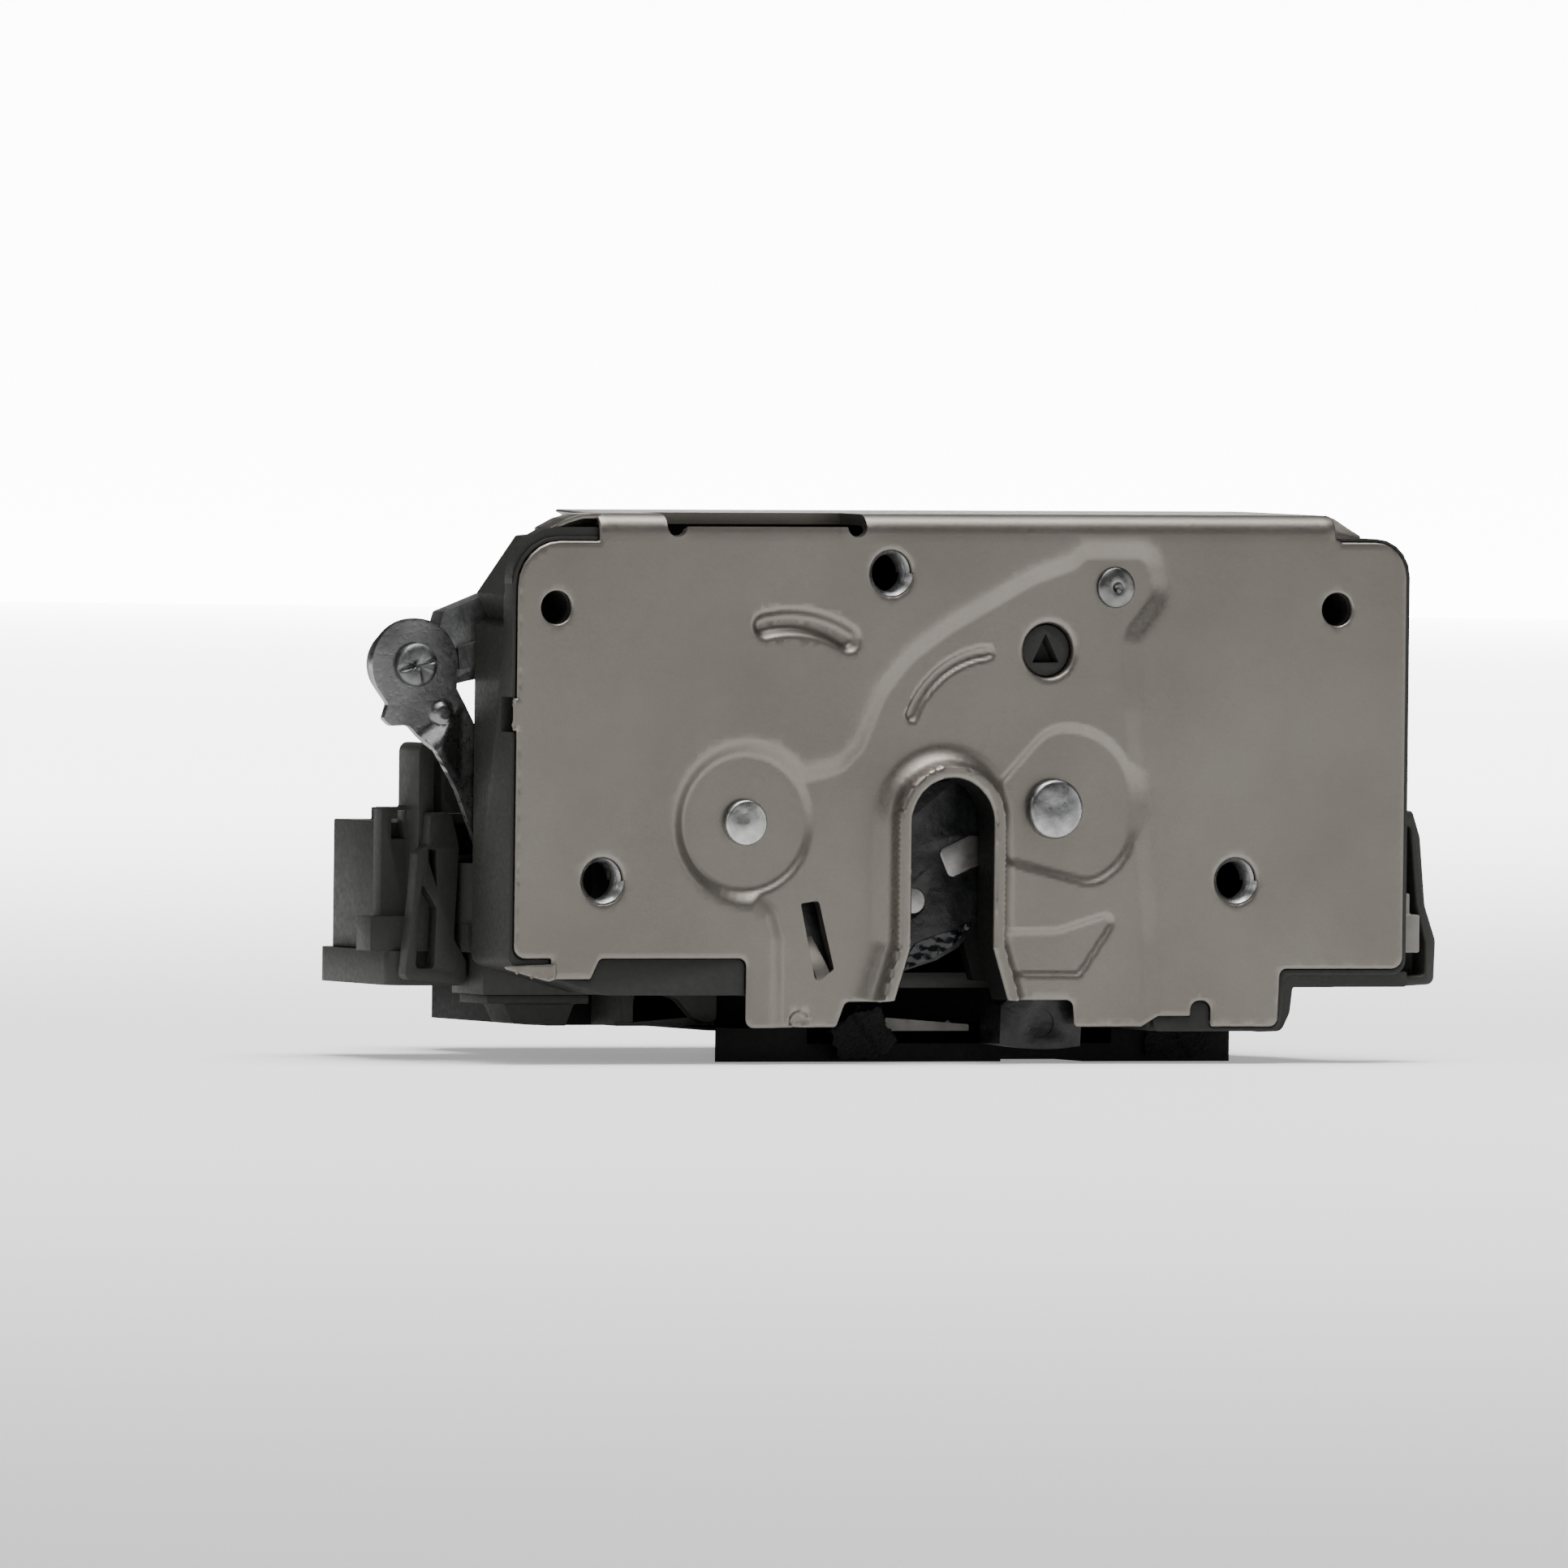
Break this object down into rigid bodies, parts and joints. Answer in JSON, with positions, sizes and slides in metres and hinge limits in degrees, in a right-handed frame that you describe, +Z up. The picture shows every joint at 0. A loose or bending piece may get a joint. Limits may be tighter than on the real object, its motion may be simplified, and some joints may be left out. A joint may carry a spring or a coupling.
{
  "type": "door latch actuator",
  "caption": "Side-door latch with rotary claw behind a steel face plate, release levers, connector and geared lock drive in a flat housing",
  "frame": {"origin": "centre of the latched striker, on the outer face of the face plate", "axes": "X along the plate, Y into the door, Z up and away from the striker mouth"},
  "size_m": [0.1507, 0.0745, 0.0721],
  "materials": {
    "zinc_steel": "satin zinc-nickel plated sheet",
    "dark_steel": "hardened steel, lightly oiled",
    "rivet_steel": "bright zinc plated",
    "bright_steel": "bright stamped sheet",
    "spring_steel": "drawn spring wire",
    "motor_can": "plated drawn can",
    "zinc_casting": "die-cast zinc, as cast",
    "brass": "machined",
    "tinned_brass": "tinned",
    "black_plastic": "moulded, fine grain",
    "grey_plastic": "glass-filled moulding, lighter grey-black",
    "claw_plastic": "overmoulding, greased",
    "natural_plastic": "natural acetal",
    "rubber": "soft moulded stop",
    "felt": "needled felt"
  },
  "bodies": {
    "frame": {"face_plate": "zinc_steel", "back_plate": "dark_steel", "cassette_frame": "black_plastic", "claw_rivet": "rivet_steel", "claw_spring": "spring_steel", "claw_bumper": "rubber", "pawl_rivet": "rivet_steel", "pawl_spring": "spring_steel", "spacer_rivet": "rivet_steel", "lever_pivot": "rivet_steel", "lever_spring": "spring_steel", "actuator_case": "grey_plastic", "actuator_cover": "black_plastic", "motor_body": "motor_can", "gear_axle": "rivet_steel", "connector_shroud": "grey_plastic", "connector_pins": "tinned_brass", "circuit_carrier": "black_plastic", "claw_switch": "black_plastic", "lock_switch": "black_plastic", "side_bracket": "grey_plastic", "left_clip": "grey_plastic", "right_clip": "black_plastic", "right_pad": "grey_plastic", "clip_foot": "black_plastic", "lower_block": "grey_plastic", "felt_pad_left": "felt", "felt_pad_right": "felt", "inner_lever_pivot": "rivet_steel", "cover_screws": "rivet_steel"},
    "claw": {"claw_core": "dark_steel", "claw_cover": "claw_plastic"},
    "pawl": {"pawl_core": "dark_steel", "pawl_cover": "claw_plastic"},
    "rotor": {"lock_rotor": "black_plastic"},
    "lever": {"outer_lever": "zinc_casting", "lever_pin": "rivet_steel"},
    "strap": {"link_strap": "bright_steel"},
    "pinion": {"motor_pinion": "brass"},
    "gear": {"reduction_gear": "natural_plastic"},
    "slider": {"lock_slider": "natural_plastic"},
    "release": {"inner_lever": "zinc_casting"}
  },
  "joints": [
    {"name": "claw_turn", "type": "hinge", "parent": "frame", "child": "claw", "pos_m": [0.016, 0.0066, 0.0018], "axis": [0, 1, 0], "range_deg": [0, 68], "stiffness_Nm_per_rad": 0.02, "springref_deg": -34.38},
    {"name": "pawl_turn", "type": "hinge", "parent": "frame", "child": "pawl", "pos_m": [-0.0285, 0.0066, 0], "axis": [0, 1, 0], "range_deg": [0, 13], "stiffness_Nm_per_rad": 0.02, "springref_deg": -34.38},
    {"name": "outer_lever_turn", "type": "hinge", "parent": "frame", "child": "lever", "pos_m": [-0.045, 0.0148, 0.027], "axis": [0, 1, 0], "range_deg": [-11, 0], "stiffness_Nm_per_rad": 0.04, "springref_deg": 45.84},
    {"name": "strap_swing", "type": "hinge", "parent": "lever", "child": "strap", "pos_m": [-0.0708, 0.0123, 0.0203], "axis": [0, 1, 0], "range_deg": [0, 11]},
    {"name": "rotor_turn", "type": "hinge", "parent": "frame", "child": "rotor", "pos_m": [0.0149, 0.008, 0.0226], "axis": [0, 1, 0], "range_deg": [0, 60]},
    {"name": "gear_turn", "type": "hinge", "parent": "frame", "child": "gear", "pos_m": [-0.009, 0.0442, -0.016], "axis": [1, 0, 0], "range_deg": [0, 66]},
    {"name": "motor_turn", "type": "hinge", "parent": "frame", "child": "pinion", "pos_m": [-0.005, 0.0574, -0.016], "axis": [1, 0, 0], "range_deg": [-225, 0]},
    {"name": "slider_move", "type": "slide", "parent": "frame", "child": "slider", "axis": [0, 1, 0], "range_m": [0, 0.007]},
    {"name": "inner_lever_turn", "type": "hinge", "parent": "frame", "child": "release", "pos_m": [0.01, 0.0346, 0.02], "axis": [0, 1, 0], "range_deg": [0, 20]}
  ],
  "couplings": [
    {"joint": "pawl_turn", "follows": "outer_lever_turn", "ratio": -1.11},
    {"joint": "strap_swing", "follows": "outer_lever_turn", "ratio": -1},
    {"joint": "motor_turn", "follows": "gear_turn", "ratio": -3.4},
    {"joint": "slider_move", "follows": "gear_turn", "m_per_rad": 0.006}
  ]
}
